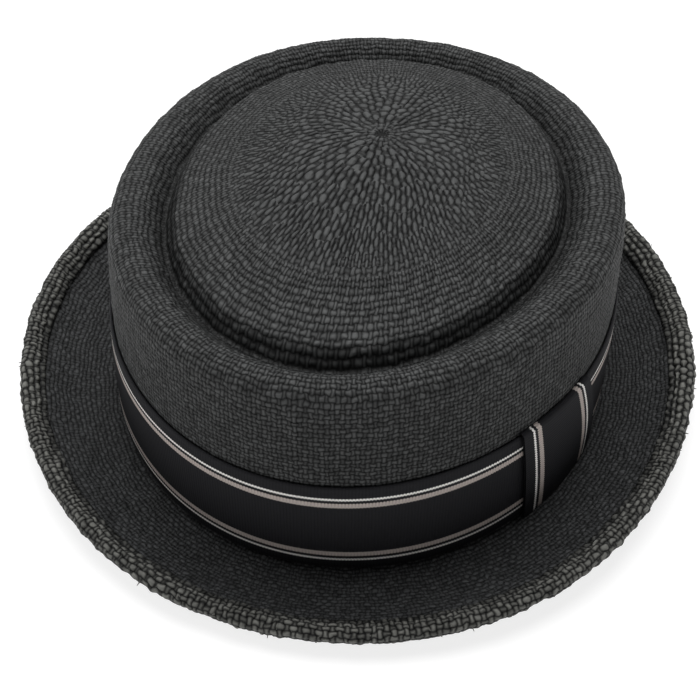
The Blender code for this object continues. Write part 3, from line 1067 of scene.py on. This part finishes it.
class HAT_OT_side(Operator):
    """Build the crown's rim and side, from the valley down to under the band."""

    bl_idname = "hat.side"
    bl_label = "Rim and side"

    def execute(self, context):
        scene = context.scene
        form = HatForm(scene)
        weave = scene.hat_weave
        straw = straw_surface(scene, "paper_straw_crown", scene.hat_colours.straw_light,
                              weave.strands, weave.rim_pitch, 1.0, CROWN_SEAM)
        columns, lines, step = MESHES["straw_crown"]
        line, valley_at = form.crown_line()
        outer = line[valley_at - TUCK_STEPS:]
        outer = outer[outer[:, 1] > form.band_top - weave.overlap]
        cut, run = evenly(outer, lines)
        tuck = np.hypot(*np.diff(line[valley_at - TUCK_STEPS:valley_at + 1], axis=0).T).sum()
        run = run - tuck
        place = form.wrap(cut, columns)
        lean = (1 / weave.wall_pitch - 1 / weave.rim_pitch) / (2 * run[-1])
        rows = tip_rows(form)[1][-1] + run / weave.rim_pitch + lean * run ** 2
        rows = np.broadcast_to(rows, place.shape[:2])
        # Painted shade: the weave is darker near the groove's valley
        darkening = np.broadcast_to(groove_shade(run), rows.shape)
        sheet = Sheet(place, even_strands(weave.side_strands), rows, SIDE_COVER, darkening)
        jitter(sheet, 1.0)
        clear = ease((cut[:, 1] - form.band_top) / FLAT_AT_BAND)[None, :]
        tucked = ease(-run / tuck)[None, :]
        lift = lift_of(sheet, weave.relief) * clear - form.sizes.gap / 3 - TUCK_DROP * tucked
        half = len(cut) // 2
        for name, part in (("straw_crown_rim", slice(0, half + 1)),
                           ("straw_crown_wall", slice(half, len(cut)))):
            piece = weave_object(name, sheet.part(part), lift[:, part],
                                 form.sizes.straw_wall, step, True, straw)
            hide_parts("straw_body")
        return {"FINISHED"}


class HAT_OT_brim(Operator):
    """Build the brim with the foot of the crown that the band hides."""

    bl_idname = "hat.brim"
    bl_label = "Brim"

    def execute(self, context):
        scene = context.scene
        form = HatForm(scene)
        sizes = form.sizes
        weave = scene.hat_weave
        # The brim's darker straw colour is partly painted shade of the crown
        straw = straw_surface(scene, "paper_straw_brim", scene.hat_colours.brim_light,
                              weave.brim_strands, weave.brim_pitch, BRIM_RELIEF, BRIM_SEAM)
        columns, lines, step = MESHES["straw_brim"]
        hidden = form.band_top - weave.overlap
        wall = [(form.wall_radius(z), z) for z in np.linspace(hidden, form.wall_foot, 5)]
        fold = arc(form.radius + sizes.break_round, form.wall_foot, sizes.break_round,
                   (202.5, 225, 247.5, 270))
        end = form.radius + sizes.brim_reach - sizes.edge_wall - sizes.gap
        top, _ = evenly(np.array([fold[-1], (end, sizes.straw_wall)]), lines)
        line = np.vstack([wall, fold[:-1], top])
        place = form.wrap(line, columns)
        rows = np.broadcast_to(distances(line) / weave.brim_pitch, place.shape[:2])
        sheet = Sheet(place, even_strands(weave.brim_strands), rows, BRIM_COVER)
        jitter(sheet, 1.3)
        # The weave stays level under the band's foot and under the overcast edge
        foot = form.radius + 2 * scene.hat_ribbon.thickness + sizes.break_round
        clear = (ease((line[:, 0] - foot) / FLAT_AT_BAND)
                 * ease((end - line[:, 0]) / FLAT_AT_EDGE))[None, :]
        lift = lift_of(sheet, weave.relief * BRIM_RELIEF) * clear
        piece = weave_object("straw_brim", sheet, lift, sizes.straw_wall, step, True, straw)
        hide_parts("straw_body")
        return {"FINISHED"}


class HAT_OT_edge(Operator):
    """Build the overcast edge that wraps the end of the brim."""

    bl_idname = "hat.edge"
    bl_label = "Overcast edge"

    def execute(self, context):
        scene = context.scene
        form = HatForm(scene)
        sizes = form.sizes
        weave = scene.hat_weave
        straw = straw_surface(scene, "overcast_straw", scene.hat_colours.edge_light,
                              weave.edge_strands, weave.edge_pitch, EDGE_BUMP, EDGE_SEAM)
        columns, lines, step = MESHES["straw_edge"]
        middle = sizes.straw_wall / 2
        half = middle + sizes.gap + sizes.edge_wall
        end = form.radius + sizes.brim_reach
        start = end - sizes.edge_depth
        nose = arc(end - half, middle, half, np.linspace(90, -90, 13))
        outline = np.array([(start, middle + half)] + nose + [(start, middle - half)])
        cut, run = evenly(outline, lines)
        place = form.wrap(cut, columns)
        rows = np.where(run < weave.chain_pitch, run / weave.chain_pitch,
                        1 + (run - weave.chain_pitch) / weave.edge_pitch)
        rows = np.broadcast_to(rows, place.shape[:2])
        cover = stray(place, (EDGE_COVER,)) + BASE_COVER
        # The edge grows lighter from its first row, which is as dark as the brim
        darkening = EDGE_DARK * (1 - ease((run - weave.chain_pitch / 2) / weave.chain_pitch))
        darkening = np.broadcast_to(darkening, rows.shape)
        sheet = Sheet(place, even_strands(weave.edge_strands), rows, cover, darkening)
        jitter(sheet, 0.9)
        lift = lift_of(sheet, weave.relief * EDGE_RELIEF)
        piece = weave_object("straw_edge", sheet, lift, sizes.edge_wall, step, True, straw)
        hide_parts("edge_binding")
        return {"FINISHED"}


class HAT_OT_frays(Operator):
    """Build the broken straw ends that stand off the overcast edge."""

    bl_idname = "hat.frays"
    bl_label = "Frayed ends"

    def execute(self, context):
        scene = context.scene
        form = HatForm(scene)
        sizes = form.sizes
        weave = scene.hat_weave
        rng = np.random.default_rng(5)
        shape = bmesh.new()
        end = form.radius + sizes.brim_reach
        for share, side, longer in rng.uniform(0, 1, (weave.frays, 3)):
            angle = float(form.angle_of(share))
            level = sizes.straw_wall * (FRAY_TOP - FRAY_SPREAD * side)
            root, tip = form.press([end - FRAY_ROOT, end + FRAY_OUT], level, angle)
            away = Vector(tip - root).normalized()
            away += Vector(rng.uniform(-FRAY_STRAY, FRAY_STRAY, 3))
            away += Vector((0.0, 0.0, 0.5 - side))
            reach = weave.fray_length * (FRAY_LEAST + (1 - FRAY_LEAST) * longer)
            turn = away.to_track_quat("Z", "Y").to_matrix().to_4x4()
            middle = Vector(root) + away.normalized() * reach / 2
            bmesh.ops.create_cone(shape, cap_ends=True, segments=5, radius1=weave.fray_round / 2,
                                  radius2=weave.fray_round / 5, depth=reach,
                                  matrix=Matrix.Translation(middle) @ turn)
        mesh = bpy.data.meshes.new("straw_frays")
        shape.to_mesh(mesh)
        shape.free()
        mesh.materials.append(fray_material(scene.hat_colours.edge_light))
        piece = link("straw_frays", mesh)
        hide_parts("edge_binding")
        return {"FINISHED"}


def ribbon_object(name, place, along, across, material):
    """A closed strip of ribbon from a grid of points, its map in millimetres."""
    shape, spots = grid_shape(place)
    weave = shape.loops.layers.uv.new("weave")
    order = np.arange(place.shape[1])
    for face in shape.faces:
        for loop in face.loops:
            column, line = divmod(loop.vert[spots], len(order))
            loop[weave].uv = (along[column, line], across[column, line])
    return finish_mesh(name, shape, material, Sheet(place, None, across, 0.0), order)


class HAT_OT_ribbon(Operator):
    """Build the striped ribbon band and its keeper."""

    bl_idname = "hat.ribbon"
    bl_label = "Ribbon band and keeper"

    def execute(self, context):
        scene = context.scene
        form = HatForm(scene)
        ribbon = scene.hat_ribbon
        sizes = form.sizes
        grosgrain = ribbon_material(ribbon, scene.hat_colours)
        foot = form.wall_foot + ribbon.lift
        columns, lines = BAND_MESH
        up = np.linspace(0.0, 1.0, lines + 1)
        heights = foot + up * ribbon.width
        across_mm = up * ribbon.width * 1000
        inner = form.wall_radius(heights) + sizes.gap
        skin = np.ones(lines + 1)
        skin[:2] = EDGE_SKIN
        skin[-2:] = EDGE_SKIN[::-1]
        skin = ribbon.thickness * skin
        radius = np.concatenate([inner + skin, inner[::-1], (inner + skin)[:1]])
        z = np.concatenate([heights, heights[::-1], heights[:1]])
        across = np.concatenate([across_mm, across_mm[::-1], across_mm[:1]])
        place = form.wrap(np.column_stack([radius, z]), columns)
        girth = np.linalg.norm(np.diff(place[:, lines // 2], axis=0), axis=1).sum()
        share = np.linspace(0.0, 1.0, columns + 1)[:, None]
        along = np.broadcast_to(share * girth * 1000, place.shape[:2])
        wide = np.broadcast_to(across, place.shape[:2])
        band = ribbon_object("ribbon_band", place, along, wide, grosgrain)
        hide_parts("hatband")
        keeper = self.keeper(form, ribbon, grosgrain)
        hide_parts("band_keeper")
        return {"FINISHED"}

    def keeper(self, form, ribbon, grosgrain):
        """The flat upright piece over the band, its top end curled over the band's edge."""
        sizes = form.sizes
        foot = sizes.straw_wall + sizes.gap
        under = form.band_top + sizes.gap
        columns, lines = KEEPER_MESH
        heights = np.linspace(foot, under, lines + 1)
        up = (heights - foot) / (under - foot)
        inner = form.wall_radius(heights) + 2 * sizes.gap + ribbon.thickness
        inner = inner + ribbon.keeper_slack * 4 * up * (1 - up)
        thick = ribbon.thickness
        curl = arc(inner[-1], under, thick, np.linspace(0, 90, 6))
        lip = [(form.wall_radius(under) + sizes.gap, under + thick),
               (form.wall_radius(under) + sizes.gap, under)]
        line = np.vstack([np.column_stack([inner + thick, heights])[:-1], curl, lip,
                          np.column_stack([inner, heights])[::-1]])
        line = np.vstack([line, line[:1]])
        reach = form.radius + form.oval * math.cos(2 * ribbon.keeper_at)
        sweep = ribbon.width / reach
        share = np.linspace(-0.5, 0.5, columns + 1)[:, None]
        level = (line[None, :, 1] - foot) / (under - foot)
        lean = (level - 0.5) * ribbon.keeper_tilt / reach
        pinch = (share + 0.5) * level ** 2 * ribbon.keeper_pinch / reach
        place = form.press(line[None, :, 0], line[None, :, 1],
                           ribbon.keeper_at + share * sweep - lean - pinch)
        across = np.broadcast_to((share + 0.5) * ribbon.width * 1000, place.shape[:2])
        along = np.broadcast_to(distances(line) * 1000, place.shape[:2])
        return ribbon_object("ribbon_keeper", place, along, across, grosgrain)


def aim(place, target):
    """The turn that points a light or a camera at a target."""
    return (Vector(target) - Vector(place)).to_track_quat("-Z", "Y").to_matrix().to_4x4()


class HAT_OT_studio(Operator):
    """Build the plain pale floor, the soft lights and the camera."""

    bl_idname = "hat.studio"
    bl_label = "Studio"

    def execute(self, context):
        scene = context.scene
        self.floor(scene)
        self.lights(scene)
        self.camera(scene)
        scene.view_settings.view_transform = "Standard"
        return {"FINISHED"}

    def floor(self, scene):
        """A white acrylic table, lit a little from below: shadows on it stay faint."""
        made, tree, shader = surface("backlit_acrylic_table")
        feed(tree, shader, {"Base Color": (*scene.hat_colours.floor, 1.0), "Roughness": 0.9,
                            "Emission Color": (1.0, 1.0, 1.0, 1.0), "Emission Strength": 0.80})
        shape = bmesh.new()
        bmesh.ops.create_grid(shape, x_segments=2, y_segments=2, size=3.0)
        mesh = bpy.data.meshes.new("studio_floor")
        shape.to_mesh(mesh)
        shape.free()
        mesh.materials.append(made)
        floor = bpy.data.objects.new("studio_floor", mesh)
        scene.collection.objects.link(floor)

    def lights(self, scene):
        """Two soft boxes above the hat and a pale surround."""
        world = bpy.data.worlds.new("studio")
        world.use_nodes = True
        tree = world.node_tree
        sky = tree.nodes["Background"]
        # White walls stand round the table up to 10 degrees, and the room above is dim
        parts = put(tree, "SeparateXYZ", {0: put(tree, "TexCoord").outputs["Generated"]})
        level = put(tree, "MapRange", {"Value": parts.outputs[2], "From Min": 0.14,
                                       "From Max": 0.20, "To Min": 1.0, "To Max": 0.16})
        feed(tree, sky, {"Color": (1.0, 1.0, 1.0, 1.0), "Strength": level})
        scene.world = world
        for name, place, size, power in (
                ("top", (-0.1, 0.45, 1.5), 1.5, 28.0),
                ("side", (-1.3, -0.2, 0.9), 0.8, 3.0)):
            light = bpy.data.lights.new(name, "AREA")
            light.shape = "DISK"
            light.size = size
            light.energy = power
            lamp = bpy.data.objects.new(name, light)
            lamp.matrix_world = Matrix.Translation(place) @ aim(place, (0, 0, 0.04))
            scene.collection.objects.link(lamp)

    def camera(self, scene):
        """The photograph's view: from 11 degrees to the wearer's left and 43 above."""
        azimuth = math.radians(11.18)
        rise = math.radians(42.74)
        roll = math.radians(0.72)
        back = Vector((math.sin(azimuth) * math.cos(rise), -math.cos(azimuth) * math.cos(rise),
                       math.sin(rise)))
        right = Vector((math.cos(azimuth), math.sin(azimuth), 0.0))
        up = back.cross(right)
        turned_right = right * math.cos(roll) + up * math.sin(roll)
        turned_up = up * math.cos(roll) - right * math.sin(roll)
        middle = HatForm(scene).middle
        to_right = -0.0053
        over_floor = 0.0012
        distance = 0.565
        target = Vector((to_right - middle[0], -middle[1], over_floor))
        place = target + back * distance
        camera = bpy.data.cameras.new("camera")
        camera.lens = 77.73
        camera.sensor_width = 36.0
        camera.clip_start = 0.01
        view = bpy.data.objects.new("camera", camera)
        turn = Matrix((turned_right, turned_up, back)).transposed().to_4x4()
        view.matrix_world = Matrix.Translation(place) @ turn
        scene.collection.objects.link(view)
        scene.camera = view


class HAT_PT_pieces(Panel):
    """The hat's pieces in the sidebar."""

    bl_label = "Porkpie hat"
    bl_idname = "HAT_PT_pieces"
    bl_space_type = "VIEW_3D"
    bl_region_type = "UI"
    bl_category = "Hat"

    def draw(self, context):
        for piece in PIECES:
            self.layout.operator(piece.bl_idname)
        for group in (context.scene.hat_sizes, context.scene.hat_weave,
                      context.scene.hat_ribbon, context.scene.hat_colours):
            box = self.layout.box()
            for key in group.__annotations__:
                box.prop(group, key)


PIECES = (HAT_OT_tip, HAT_OT_side, HAT_OT_brim, HAT_OT_edge, HAT_OT_frays, HAT_OT_ribbon,
          HAT_OT_studio)
GROUPS = (("hat_sizes", HatSizes), ("hat_weave", WeaveSizes), ("hat_ribbon", RibbonSizes),
          ("hat_colours", HatColours))


def register():
    for name, group in GROUPS:
        bpy.utils.register_class(group)
        setattr(bpy.types.Scene, name, PointerProperty(type=group))
    for made in PIECES + (HAT_PT_pieces,):
        bpy.utils.register_class(made)


def unregister():
    for made in (HAT_PT_pieces,) + PIECES[::-1]:
        bpy.utils.unregister_class(made)
    for name, group in GROUPS[::-1]:
        delattr(bpy.types.Scene, name)
        bpy.utils.unregister_class(group)


def main():
    register()
    bpy.ops.hat.tip()
    bpy.ops.hat.side()
    bpy.ops.hat.brim()
    bpy.ops.hat.edge()
    bpy.ops.hat.frays()
    bpy.ops.hat.ribbon()
    bpy.ops.hat.studio()


if __name__ == "__main__":
    main()
